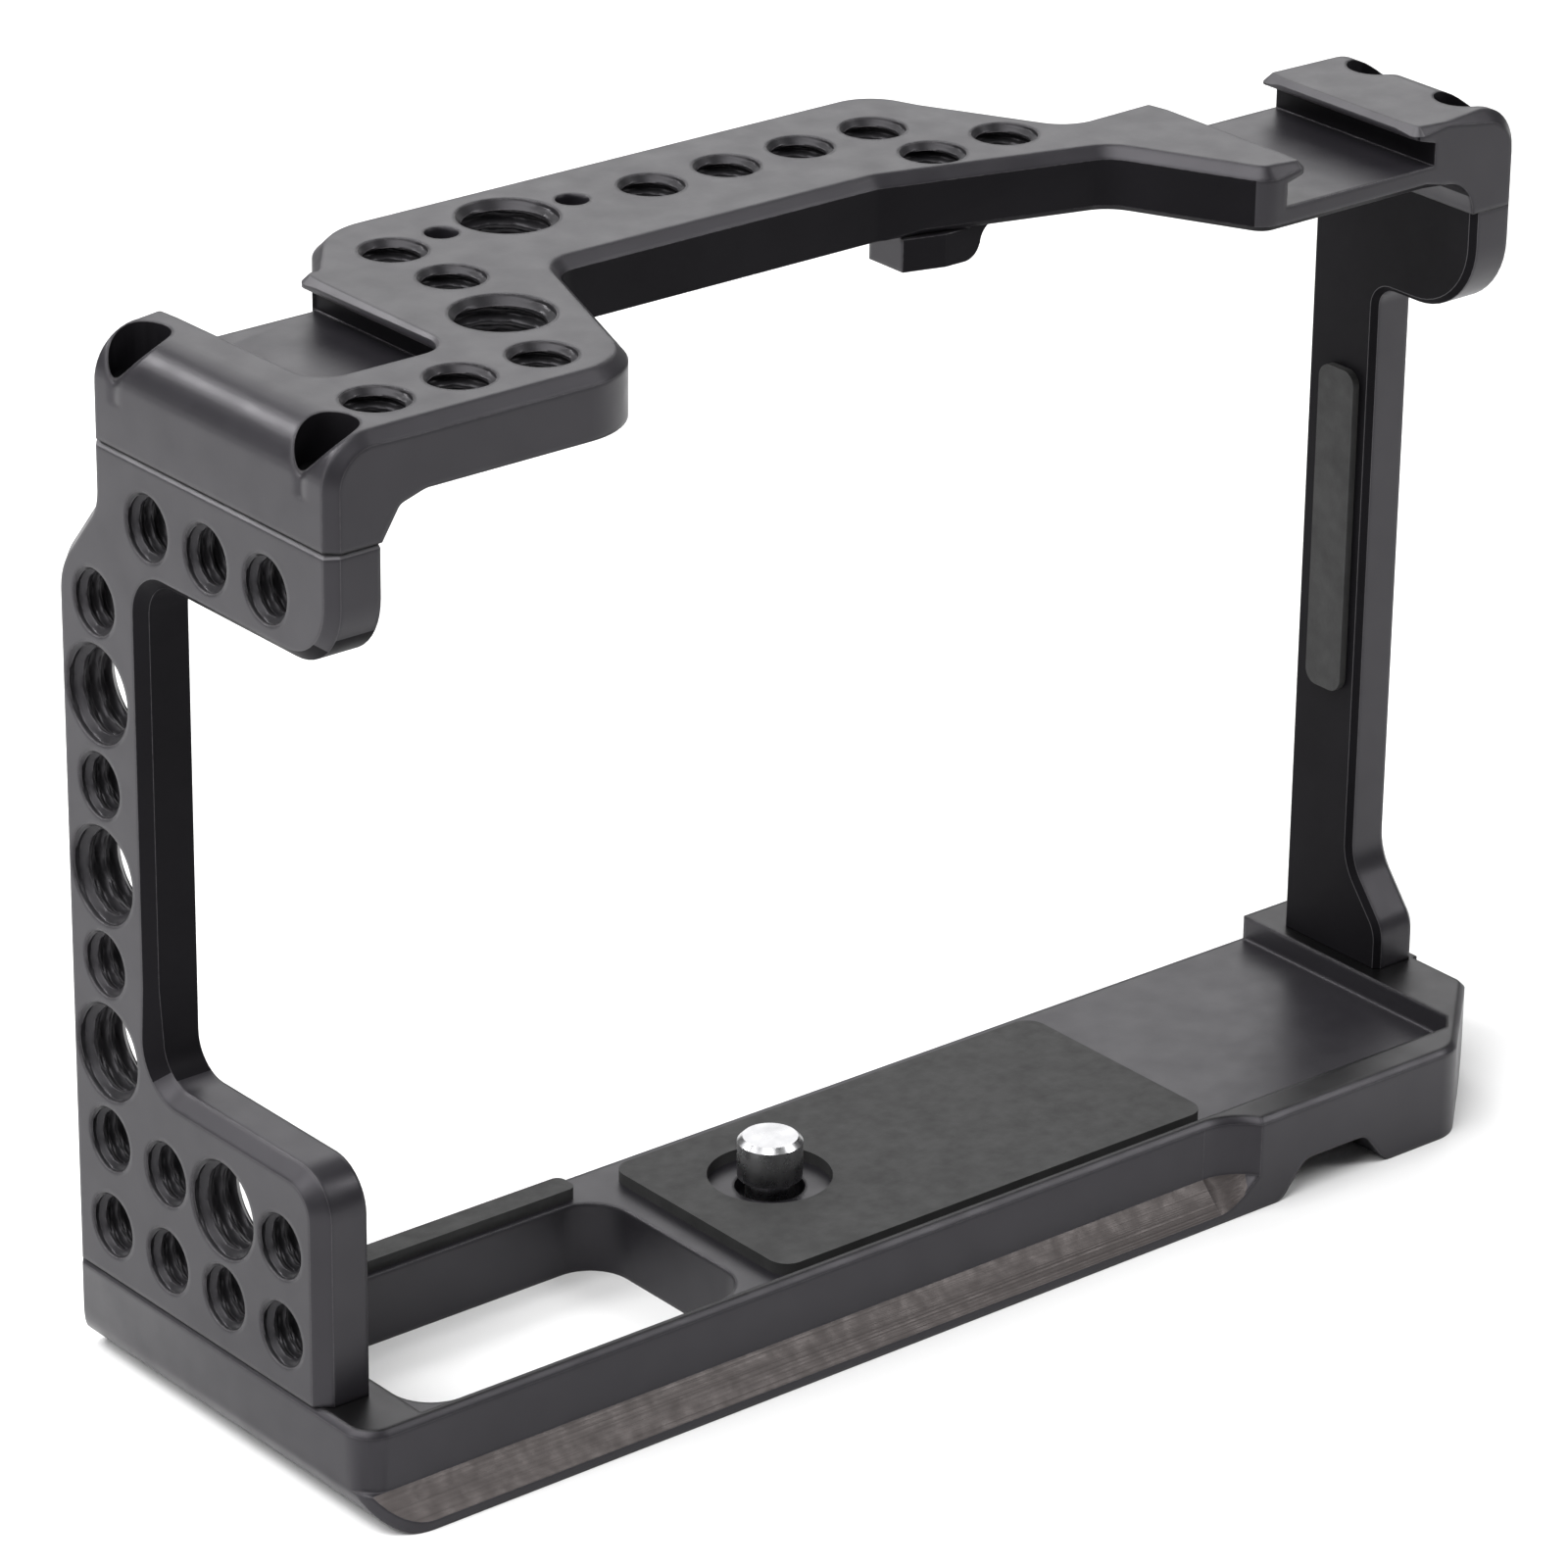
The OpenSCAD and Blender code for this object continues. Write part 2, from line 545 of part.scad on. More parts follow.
module top_left_screws() { for (y = top_left_y) top_screw(screw_inset, y); }
module top_right_screws() { for (y = top_right_y) top_screw(cage_w - right_inset, y); }
module bottom_left_screws() { for (y = bottom_left_y) low_screw(low_inset, y); }
module bottom_right_screws() { for (y = bottom_right_y) low_screw(cage_w - low_inset, y); }
module top_left_dowels() { color("#b9babd") top_left_pins(); }
module top_right_dowel() { color("#b9babd") top_right_pin(); }
module bottom_left_dowels() { color("#b9babd") bottom_left_pins(); }
module bottom_right_dowel() { color("#b9babd") bottom_right_pin(); }

// ---- camera screw ----

// the screw is shown tightened: its head and washer lie against the recess
module camera_screw() {
    head_top = recess_z - washer_t;
    color("#8f9094") translate([cam_x, cam_y, 0]) difference() {
        union() {
            translate([0, 0, cam_head_z]) cylinder(h = head_top - cam_head_z, r = cam_head_r);
            translate([0, 0, head_top - e]) cylinder(h = pads_z - head_top + 2 * e, r = neck_r);
            translate([0, 0, pads_z]) cylinder(h = thread_len - 0.5, r = cam_thread_r);
            translate([0, 0, pads_z + thread_len - 0.5])
                cylinder(h = 0.5, r1 = cam_thread_r, r2 = cam_thread_r - 0.5);
        }
        // coin slot and the two holes that the ring's ends turn in
        translate([-cam_head_r - e, -0.9, cam_head_z - e]) cube([2 * cam_head_r + 2 * e, 1.8, 1.0 + e]);
        for (s = [0, 180]) rotate([0, 0, s])
            translate([0, cam_head_r - 2.2, ring_z]) rotate([-90, 0, 0]) cylinder(h = 3, r = wire_r + 0.05);
    }
}

module screw_washer() {
    color("#d8d4c8") translate([cam_x, cam_y, recess_z - washer_t]) difference() {
        cylinder(h = washer_t, r = 5.6);
        translate([0, 0, -e]) cylinder(h = washer_t + 2 * e, r = neck_r + 0.1);
    }
}

// spring clip in the plate's bore: the neck slides through it, the thread doesn't
module retaining_clip() {
    color("#7c7d80") translate([cam_x, cam_y, clip_z]) difference() {
        cylinder(h = clip_t, r = clip_r - 0.05);
        translate([0, 0, -e]) cylinder(h = clip_t + 2 * e, r = neck_r + 0.25);
        translate([0, -0.8, -e]) cube([clip_r + e, 1.6, clip_t + 2 * e]);
    }
}

// half ring of wire that folds flat round the head and folds down to turn the screw
module screw_ring() {
    hole_in = cam_head_r - 2.0;
    color("#a6a7ab") translate([cam_x, cam_y, ring_z]) {
        rotate([0, 0, -90]) rotate_extrude(angle = 180) translate([ring_r, 0]) circle(r = wire_r, $fn = 24);
        for (s = [-1, 1]) translate([0, s * ring_r, 0]) {
            sphere(r = wire_r, $fn = 24);
            rotate([s * 90, 0, 0]) cylinder(h = ring_r - hole_in, r = wire_r, $fn = 24);
        }
    }
}

// ---- rubber pads ----

module floor_pad() {
    color("#3a3a3b") difference() {
        translate([0, 0, floor_z]) linear_extrude(pad_t)
            polygon(rounded([[51, -34.5, 2], [104, -34.5, 2], [104, -8.5, 2], [51, -8.5, 2]]));
        drill([cam_x, cam_y], 6.0, floor_z - e, pads_z + e);
    }
}
module front_floor_pad() {
    color("#3a3a3b") translate([0, 0, floor_z]) linear_extrude(pad_t)
        polygon(rounded([[18, -9.8, 0.9], [46, -9.8, 0.9], [46, -7.0, 0.9], [18, -7.0, 0.9]]));
}
module left_wall_pad() {
    color("#3a3a3b") translate([side_t + 0.8, 0, 0]) rotate([0, -90, 0]) linear_extrude(0.8)
        polygon(rounded([[28.9, -29.0, 0.9], [31.2, -29.0, 0.9], [31.2, -9.5, 0.9], [28.9, -9.5, 0.9]]));
}
module right_bar_pad() {
    color("#3a3a3b") translate([cage_w - bar_t, 0, 0]) rotate([0, -90, 0]) linear_extrude(0.8)
        polygon(rounded([[38, -17.6, 1.5], [72, -17.6, 1.5], [72, -12.7, 1.5], [38, -12.7, 1.5]]));
}

in_frame() {
    top_plate();
    left_side_plate();
    right_side_bar();
    bottom_plate();
    top_left_screws();
    top_right_screws();
    bottom_left_screws();
    bottom_right_screws();
    top_left_dowels();
    top_right_dowel();
    bottom_left_dowels();
    bottom_right_dowel();
    camera_screw();
    screw_washer();
    retaining_clip();
    screw_ring();
    floor_pad();
    front_floor_pad();
    left_wall_pad();
    right_bar_pad();
}
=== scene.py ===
# %% [markdown]
# # A camera cage in black anodised aluminium
# Four milled plates are screwed into a frame round a camera. The solids come from the CAD frame and keep
# their size and place. This script gives them what a drawing leaves out: broken edges, cut threads, the
# grain of the finish, and a studio to look at them in.

# %% load the frame
import json
import math

import bmesh
import bpy
import numpy as np
from mathutils import Matrix, Vector

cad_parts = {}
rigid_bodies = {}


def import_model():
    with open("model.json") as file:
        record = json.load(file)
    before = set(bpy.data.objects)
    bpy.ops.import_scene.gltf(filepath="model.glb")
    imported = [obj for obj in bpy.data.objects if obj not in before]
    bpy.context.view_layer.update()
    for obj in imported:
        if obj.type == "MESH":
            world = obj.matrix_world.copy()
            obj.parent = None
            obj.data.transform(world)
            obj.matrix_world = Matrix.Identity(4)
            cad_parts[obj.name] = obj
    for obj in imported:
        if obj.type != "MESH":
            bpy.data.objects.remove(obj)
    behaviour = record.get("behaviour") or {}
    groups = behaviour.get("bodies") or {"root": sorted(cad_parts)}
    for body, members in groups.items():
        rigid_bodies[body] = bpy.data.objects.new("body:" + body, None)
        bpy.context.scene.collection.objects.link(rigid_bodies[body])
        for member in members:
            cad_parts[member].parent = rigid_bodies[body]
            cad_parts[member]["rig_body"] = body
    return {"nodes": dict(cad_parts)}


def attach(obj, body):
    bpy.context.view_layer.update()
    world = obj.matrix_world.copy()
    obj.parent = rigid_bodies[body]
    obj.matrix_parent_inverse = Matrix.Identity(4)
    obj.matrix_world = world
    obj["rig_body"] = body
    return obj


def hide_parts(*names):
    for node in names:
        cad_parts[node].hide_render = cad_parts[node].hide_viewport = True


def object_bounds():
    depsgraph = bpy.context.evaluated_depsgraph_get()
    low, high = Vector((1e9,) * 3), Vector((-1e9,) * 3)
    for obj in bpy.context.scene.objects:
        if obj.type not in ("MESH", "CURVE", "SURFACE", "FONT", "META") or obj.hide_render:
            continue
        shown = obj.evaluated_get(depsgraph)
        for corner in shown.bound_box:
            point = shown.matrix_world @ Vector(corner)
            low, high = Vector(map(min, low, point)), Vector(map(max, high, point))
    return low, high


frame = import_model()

MM = 0.001
nodes = frame["nodes"]
cad_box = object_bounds()
print("nodes:", len(nodes), "size in mm:", [round(v / MM, 1) for v in cad_box[1] - cad_box[0]])

# %% [markdown]
# ## Where things are on the cage
# A machinist measures every hole from the same few lines. Here they are the cage's left face, its front
# thread column and its underside. Working from them keeps the numbers below equal to the drawing's, and
# the frame's own box says where those lines lie in the scene.

# %% reference lines
COLUMN_TO_FRONT = 8.5
LEFT_X = cad_box[0].x
COLUMN_Y = cad_box[1].y - COLUMN_TO_FRONT * MM


def place(x, y, z):
    """A scene point, from mm to the left face, the front thread column and the underside."""
    return Vector((LEFT_X + x * MM, COLUMN_Y + y * MM, z * MM))


def cage_point(point):
    """The way back: a scene point in mm from those three lines."""
    return (point - Vector((LEFT_X, COLUMN_Y, 0))) / MM


print("front thread column at y =", round(COLUMN_Y / MM, 2), "mm")

# %% [markdown]
# ## Milled plates with broken edges
# A milled edge is never perfectly sharp: it is broken with a file or a small cutter, and it catches the
# light as a thin line. The drawing has no such edges, so each plate is copied, its split corners are
# welded, its flat faces are merged, and a Bevel modifier breaks every edge that turns by more than 25
# degrees. A modifier is chosen over modelling the edges because one width then holds for the whole plate.
# Its faces get a material slot of their own, a lighter grey that is partly wear, because an edge wears
# first, and partly a painted highlight.

# %% a plate's mesh, welded and merged
EDGE_ANGLE = math.radians(25)
FLAT_ANGLE = math.radians(0.4)
WELD_DISTANCE = 0.002 * MM


def welded_mesh(node, name):
    """The node's mesh with its corners welded and its flat faces merged."""
    work = bmesh.new()
    work.from_mesh(nodes[node].data)
    bmesh.ops.remove_doubles(work, verts=work.verts, dist=WELD_DISTANCE)
    bmesh.ops.dissolve_limit(work, angle_limit=FLAT_ANGLE, verts=work.verts, edges=work.edges)
    for face in work.faces:
        face.smooth = True
    mesh = bpy.data.meshes.new(name)
    work.to_mesh(mesh)
    work.free()
    mesh.set_sharp_from_angle(angle=EDGE_ANGLE)
    return mesh


# %% a plate with broken edges
EDGE_WIDTH = 0.12 * MM
EDGE_SEGMENTS = 2
# the slot of the lighter grey on bevels and crisp edges: partly rubbed wear, partly a painted highlight
WEAR_AND_HIGHLIGHT_SLOT = 1
FLANK_SLOT = 2
PAINTED_SHADE_SLOT = 3


def broken_edges(node):
    """Stands in for a CAD node: the same solid with its edges broken by a small bevel."""
    name = node + "_finished"
    piece = bpy.data.objects.new(name, welded_mesh(node, name))
    bpy.context.scene.collection.objects.link(piece)
    bevel = piece.modifiers.new("broken edges", "BEVEL")
    bevel.width = EDGE_WIDTH
    bevel.segments = EDGE_SEGMENTS
    bevel.limit_method = "ANGLE"
    bevel.angle_limit = EDGE_ANGLE
    bevel.harden_normals = True
    bevel.use_clamp_overlap = True
    # the bevel's faces take the lighter grey: partly rubbed wear, partly a painted highlight
    bevel.material = WEAR_AND_HIGHLIGHT_SLOT
    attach(piece, nodes[node]["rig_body"])
    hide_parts(node)
    return piece


plates = {}
for node in ("top_plate", "left_side_plate", "right_side_bar", "bottom_plate"):
    plates[node] = broken_edges(node)
    print(node, len(plates[node].data.polygons), "faces before the bevel")

# %% [markdown]
# ## Which face gets which finish
# One plate carries several surfaces. Most of it is blasted and anodised, the rail's clamping face shows the
# cutter's marks, and the narrow bevels at joints and shoe lips are a lighter grey, partly from rubbing and
# partly a painted highlight. The inner faces have the same finish on a real cage. They get a duller black
# here, a painted shade standing in for the shade of the camera's body, which isn't modelled. Painting a
# mask would need an image, so each face is sorted by where its centre lies, in the drawing's own
# millimetres, and by which way it looks.

# %% boxes on the cage
ANYWHERE = (-math.inf, math.inf)
LEANING = 0.5       # a face leans towards an axis when its normal reaches this far along it


def within(point, x=ANYWHERE, y=ANYWHERE, z=ANYWHERE):
    """Whether a point lies between the limits given for each axis."""
    return all(low < value < high for value, (low, high) in zip(point, (x, y, z)))


def within_any(point, boxes):
    """Whether a point lies in at least one of several boxes."""
    return any(within(point, **box) for box in boxes)


print("a point 1 mm inside the left face lies in the first 2 mm:", within((1, 0, 0), x=(0, 2)))

# %% the milled flank
FLANK_TOP = 7


def is_flank(point, normal):
    """The rail's clamping face, which leans back at 45 degrees."""
    return point.z < FLANK_TOP and normal.y < -LEANING and normal.z > LEANING


# %% the faces that look inward
# the faces picked out below get a painted shade: a duller, darker black in place of the camera body's shade
ARM_WALL = dict(x=(34, 108.8), y=(-31.5, -10))
ARM_WALL_LEANING = 0.35
SLOT_HEIGHT = (97, 101.5)
SHOE_SLOTS = [dict(x=(5.5, 25.5), z=SLOT_HEIGHT), dict(x=(111, 131.8), z=SLOT_HEIGHT)]
WELL = dict(y=(-34.5, -1), z=(96, math.inf))
SCREW_WELLS = [dict(x=(0.3, 6.5), **WELL), dict(x=(135, 142), **WELL)]
COLUMN_BACK = dict(y=(-12, -6))
UPRIGHT = 0.3       # a wall is upright when its normal rises less than this


def is_inner_top(point, normal):
    """The top plate's underside, and its walls at the arm, in the shoes and in the screw wells."""
    arm_wall = within(point, **ARM_WALL) and normal.y < -ARM_WALL_LEANING
    slot_wall = within_any(point, SHOE_SLOTS) and abs(normal.x) > LEANING
    walls = arm_wall or slot_wall or within_any(point, SCREW_WELLS)
    return normal.z < -LEANING or (abs(normal.z) < UPRIGHT and walls)


def is_inner_left(point, normal):
    """The left plate's inner side, what looks down, and the back of its column."""
    column_back = normal.y < -LEANING and within(point, **COLUMN_BACK)
    return normal.z < -LEANING or normal.x > LEANING or column_back


def is_inner(node, point, normal):
    """Faces that look at the camera's body and hardly see the studio, and so get a painted shade."""
    if node == "top_plate":
        return is_inner_top(point, normal)
    if node == "left_side_plate":
        return is_inner_left(point, normal)
    return node == "right_side_bar" and normal.x < -LEANING


# %% the crisp bevels
SLOPE = (0.3, 0.97)     # how far a bevel's normal rises: neither a wall nor a flat top
LIP_HEIGHT = (99, math.inf)
LEFT_LIP_LENGTH = (-24, 1.5)
SHOE_LIPS = [
    dict(x=(5, 9), y=LEFT_LIP_LENGTH, z=LIP_HEIGHT),
    dict(x=(21.4, 24.4), y=LEFT_LIP_LENGTH, z=LIP_HEIGHT),
    dict(x=(112.5, 116.5), z=LIP_HEIGHT),
    dict(x=(126.5, 130.5), z=LIP_HEIGHT),
]
TOP_JOINT_BEVEL = 91.3


# these faces take the lighter grey: partly rubbed wear, partly a painted highlight
def is_crisp(node, point, normal):
    """Narrow bevels at the joints and on the shoes' lips, which stay sharp."""
    if not SLOPE[0] < abs(normal.z) < SLOPE[1]:
        return False
    if node == "top_plate":
        return within_any(point, SHOE_LIPS)
    return point.z > TOP_JOINT_BEVEL


# %% sort a plate's faces
def mark_faces(piece, node):
    """Gives each face of a plate the slot of its finish, and counts them."""
    counts = {WEAR_AND_HIGHLIGHT_SLOT: 0, FLANK_SLOT: 0, PAINTED_SHADE_SLOT: 0}
    for face in piece.data.polygons:
        point = cage_point(face.center)
        if node == "bottom_plate" and is_flank(point, face.normal):
            face.material_index = FLANK_SLOT
        elif is_inner(node, point, face.normal):
            face.material_index = PAINTED_SHADE_SLOT
        elif node != "bottom_plate" and is_crisp(node, point, face.normal):
            face.material_index = WEAR_AND_HIGHLIGHT_SLOT
        if face.material_index in counts:
            counts[face.material_index] += 1
    print(node, "crisp, flank and inner faces:", list(counts.values()))


# %% [markdown]
# ## Cut threads
# The drawing's holes are plain bores as wide as the hole's mouth. A tapped hole narrows at once: a 45
# degree countersink runs in to the crests, and the thread's grooves wind behind it. A bump texture would
# look flat from the side, and the plate keeps the drawing's shape and isn't cut, so each hole gets a
# liner, a thin sleeve whose inner wall follows that profile. Each plate's liners are one piece.

# %% the profile of a tapped hole
GROOVE_STEEPNESS = 4
CREST_FLAT = 0.55


def thread_radius(angle, depth, length, mouth, crest, root, pitch):
    """Inner radius of a tapped hole at an angle and a depth from its first face."""
    turn = (depth / pitch - angle / (2 * math.pi)) % 1.0
    rise = np.clip(np.abs(turn - 0.5) * GROOVE_STEEPNESS - CREST_FLAT, 0, 1)
    thread = crest + (root - crest) * (1 - rise)
    into = np.minimum(depth, length - depth)
    countersink = mouth - into
    return np.maximum(thread, countersink)


# %% the faces of a sleeve
def sleeve_faces(rows, sides):
    """Quads of a closed sleeve: inner wall, outer wall, then the ring at either end."""
    count = (rows + 1) * sides
    faces = []
    for row in range(rows):
        for side in range(sides):
            a = row * sides + side
            b = row * sides + (side + 1) % sides
            faces.append((a, a + sides, b + sides, b))
            faces.append((count + a, count + b, count + b + sides, count + a + sides))
    for row in (0, rows):
        for side in range(sides):
            a = row * sides + side
            b = row * sides + (side + 1) % sides
            ring = (a, b, count + b, count + a)
            faces.append(ring if row == 0 else ring[::-1])
    return faces


# %% a sleeve for one hole
END_CLEARANCE = 0.05 * MM       # the liner stays this far below the plate's faces
BORE_CLEARANCE = 0.004 * MM     # and this far inside the bore
ROWS_PER_TURN = 10


def thread_liner(start, axis, length, mouth, crest, root, pitch, sides):
    """Points and faces of one sleeve. Start is the centre of the hole's first face."""
    rows = int(math.ceil(length / pitch * ROWS_PER_TURN))
    angle = np.linspace(0, 2 * math.pi, sides, endpoint=False)
    depth = END_CLEARANCE + np.linspace(0, 1, rows + 1) * (length - 2 * END_CLEARANCE)
    grid_angle, grid_depth = np.meshgrid(angle, depth)
    inner = thread_radius(grid_angle, grid_depth, length, mouth, crest, root, pitch)
    inner = np.minimum(inner, mouth - 3 * BORE_CLEARANCE)
    outer = np.full_like(inner, mouth - BORE_CLEARANCE)
    axis = Vector(axis).normalized()
    across = axis.orthogonal().normalized()
    directions = np.array([across, axis.cross(across), axis])
    points = []
    for radius in (inner, outer):
        local = np.stack([radius * np.cos(grid_angle), radius * np.sin(grid_angle), grid_depth], -1)
        points.append(local.reshape(-1, 3) @ directions + np.array(start))
    return np.concatenate(points), sleeve_faces(rows, sides)


# %% all the sleeves of a plate
THREAD_ANGLE = math.radians(40)


def liners(name, holes, axis, length, body):
    """One piece that holds the liners of a plate's holes."""
    points = []
    faces = []
    for start, size in holes:
        hole_points, hole_faces = thread_liner(start, axis, length, **size)
        offset = sum(len(p) for p in points)
        points.append(hole_points)
        faces.extend([tuple(i + offset for i in face) for face in hole_faces])
    mesh = bpy.data.meshes.new(name)
    mesh.from_pydata(np.concatenate(points).tolist(), [], faces)
    mesh.polygons.foreach_set("use_smooth", [True] * len(mesh.polygons))
    mesh.set_sharp_from_angle(angle=THREAD_ANGLE)
    piece = bpy.data.objects.new(name, mesh)
    bpy.context.scene.collection.objects.link(piece)
    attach(piece, body)
    print(name, len(holes), "holes,", len(mesh.polygons), "faces")
    return piece


# %% the two threads
QUARTER = dict(mouth=3.2 * MM, crest=2.55 * MM, root=3.12 * MM, pitch=1.27 * MM, sides=48)
THREE_EIGHTH = dict(mouth=4.8 * MM, crest=3.98 * MM, root=4.7 * MM, pitch=1.5875 * MM, sides=64)
for title, size in (("1/4 inch", QUARTER), ("3/8 inch", THREE_EIGHTH)):
    print(title, "threads per inch:", round(25.4 * MM / size["pitch"]))

# %% [markdown]
# ## The pattern of holes
# Accessories are bolted to the cage wherever two holes lie the right distance apart, so its holes keep one
# pitch. The left plate has a column of eight, two short rows beside its foot and a row under the top plate.
# Its holes come from loops over that pitch. The top plate's holes follow its outline, so they are listed.

# %% holes of the left side plate
PITCH = 8.8
COLUMN_FOOT = 15.1
UPPER_ROW_Y = -8.5
UPPER_ROW_Z = 86.4
SIDE_THICKNESS = 5.2
COLUMN = [QUARTER, QUARTER, THREE_EIGHTH, QUARTER, THREE_EIGHTH, QUARTER, THREE_EIGHTH, QUARTER]
LOW_ROW = [QUARTER, QUARTER, QUARTER]
NEXT_ROW = [QUARTER, THREE_EIGHTH, QUARTER]
UPPER_ROW = [QUARTER, QUARTER, QUARTER]

left_holes = []
for k, size in enumerate(COLUMN):
    left_holes.append((place(0, 0, COLUMN_FOOT + k * PITCH), size))
for z, row in ((COLUMN_FOOT, LOW_ROW), (COLUMN_FOOT + PITCH, NEXT_ROW)):
    for k, size in enumerate(row, start=1):
        left_holes.append((place(0, -k * PITCH, z), size))
for k, size in enumerate(UPPER_ROW):
    left_holes.append((place(0, UPPER_ROW_Y - k * PITCH, UPPER_ROW_Z), size))
left_threads = liners("left_plate_threads", left_holes, (1, 0, 0), SIDE_THICKNESS * MM, "cage")

# %% holes of the top plate
ARM_THICKNESS = 6.2
TOP = 102.4
QUARTER_HOLES = [
    (61.8, -0.5), (70.6, -0.5), (79.4, -0.5), (88.2, -0.5),     # along the arm's front edge
    (88.2, -9.15), (97.0, -9.15),                               # behind them
    (32.6, -0.4), (32.6, -9.1),                                 # beside the left shoe
    (9.5, -29.3), (18.3, -29.3), (27.1, -29.3),                 # along the ear's back edge
]
THREE_EIGHTH_HOLES = [(46.2, 0.7), (30.6, -19.1)]

top_holes = []
for size, centres in ((QUARTER, QUARTER_HOLES), (THREE_EIGHTH, THREE_EIGHTH_HOLES)):
    for x, y in centres:
        top_holes.append((place(x, y, TOP), size))
top_threads = liners("top_plate_threads", top_holes, (0, 0, -1), ARM_THICKNESS * MM, "cage")

# %% [markdown]
# ## Building blocks for the finishes
# Every finish below is made of the same few steps: noise in the part's own coordinates, a range to map it
# to, a mix of two colours, and a bump. Each step is a small function that adds one node and hands on its
# output, so that a finish reads as a list of what it is made of. No image is needed, and the pattern has
# the same size in millimetres on every piece.

# %% a new material and its noise
def new_material(name):
    """A material with its node tree and its Principled shader."""
    material = bpy.data.materials.new(name)
    material.use_nodes = True
    return material, material.node_tree, material.node_tree.nodes["Principled BSDF"]


def add(tree, kind, **inputs):
    """A node of one kind, with its sockets set by name."""
    node = tree.nodes.new(kind)
    for key, value in inputs.items():
        node.inputs[key.replace("_", " ")].default_value = value
    return node


def noise(tree, scale, detail, stretch=None):
    """Noise in the part's own coordinates, stretched along an axis if asked."""
    vector = tree.nodes.new("ShaderNodeTexCoord").outputs["Object"]
    texture = add(tree, "ShaderNodeTexNoise", Scale=scale, Detail=detail)
    if stretch is not None:
        mapping = add(tree, "ShaderNodeMapping", Scale=stretch)
        tree.links.new(vector, mapping.inputs["Vector"])
        vector = mapping.outputs["Vector"]
    tree.links.new(vector, texture.inputs["Vector"])
    return texture.outputs["Fac"]


# %% ranges, mixes and sums
def spread(tree, source, low, high, start=0.3, end=0.7):
    """Maps the values from start to end onto the values from low to high."""
    node = add(tree, "ShaderNodeMapRange", From_Min=start, From_Max=end, To_Min=low, To_Max=high)
    tree.links.new(source, node.inputs["Value"])
    return node.outputs["Result"]


def blend(tree, factor, first, second):
    """Mixes two colours, each of them three numbers or another node's output."""
    node = tree.nodes.new("ShaderNodeMix")
    node.data_type = "RGBA"
    tree.links.new(factor, node.inputs["Factor"])
    for socket, colour in (("A", first), ("B", second)):
        if isinstance(colour, tuple):
            node.inputs[socket].default_value = (*colour, 1)
        else:
            tree.links.new(colour, node.inputs[socket])
    return node.outputs["Result"]


def calculate(tree, operation, source, *values):
    """A Math node whose first input is an output, and the others outputs or numbers."""
    node = tree.nodes.new("ShaderNodeMath")
    node.operation = operation
    tree.links.new(source, node.inputs[0])
    for socket, value in zip(list(node.inputs)[1:], values):
        if isinstance(value, float):
            socket.default_value = value
        else:
            tree.links.new(value, socket)
    return node.outputs["Value"]


# %% bump and softened edges
EDGE_SAMPLES = 6


def soft_edges(tree, radius):
    """The surface's normal, turned smoothly over a strip of this width along every edge."""
    node = add(tree, "ShaderNodeBevel", Radius=radius)
    node.samples = EDGE_SAMPLES
    return node.outputs["Normal"]


def bump(tree, shader, source, distance, soft_edge=None):
    """Raises the surface by the source, on top of softened edges if they are given."""
    node = add(tree, "ShaderNodeBump", Strength=1.0, Distance=distance)
    tree.links.new(source, node.inputs["Height"])
    if soft_edge is not None:
        tree.links.new(soft_edge, node.inputs["Normal"])
    tree.links.new(node.outputs["Normal"], shader.inputs["Normal"])


# %% [markdown]
# ## Black anodising
# Anodising dyes a bead-blasted surface nearly black, with a touch of violet and a satin sheen. Handling
# rubs the edges grey. The Bevel node compares the plain normal with a rounded one: where they differ there
# is an edge, so the wear finds every edge without a painted mask. Where two plates meet, a hairline of
# painted shade darkens the gap between them, and it is drawn by height because both joints are level.

# %% wear along the edges
WEAR_WIDTH = 0.16 * MM
WEAR_START = 0.93
WEAR_END = 0.995
WEAR_LEAST = 0.25       # how much of the wear is left where the noise is lowest


def edge_wear(tree):
    """0 on flat faces, rising to 1 on edges, broken up by noise."""
    plain = tree.nodes.new("ShaderNodeNewGeometry").outputs["Normal"]
    likeness = tree.nodes.new("ShaderNodeVectorMath")
    likeness.operation = "DOT_PRODUCT"
    tree.links.new(soft_edges(tree, WEAR_WIDTH), likeness.inputs[0])
    tree.links.new(plain, likeness.inputs[1])
    wear = spread(tree, likeness.outputs["Value"], 1.0, 0.0, WEAR_START, WEAR_END)
    scratches = noise(tree, scale=1500, detail=4)
    breakup = spread(tree, scratches, WEAR_LEAST, 1.0, start=0.35, end=0.65)
    return calculate(tree, "MULTIPLY", wear, breakup)


# %% the hairline at the joints
JOINTS = (92.4, 9.7)
JOINT_HALF = 0.1 * MM
# near-black painted shade in the gap between two plates
JOINT_SHADE_COLOUR = (0.001, 0.001, 0.001)


def joint_shade_line(tree, tone):
    """Paints shade on the hairline where two plates meet."""
    parts = tree.nodes.new("ShaderNodeSeparateXYZ")
    coord = tree.nodes.new("ShaderNodeTexCoord")
    tree.links.new(coord.outputs["Object"], parts.inputs["Vector"])
    for seam in JOINTS:
        near = calculate(tree, "COMPARE", parts.outputs["Z"], seam * MM, JOINT_HALF)
        tone = blend(tree, near, tone, JOINT_SHADE_COLOUR)
    return tone


# %% the anodised finishes
WORN = (0.075, 0.072, 0.076)
GRAIN = 0.004 * MM
OXIDE_IOR = 1.5
OXIDE_TINT = (0.97, 0.94, 1.0, 1)


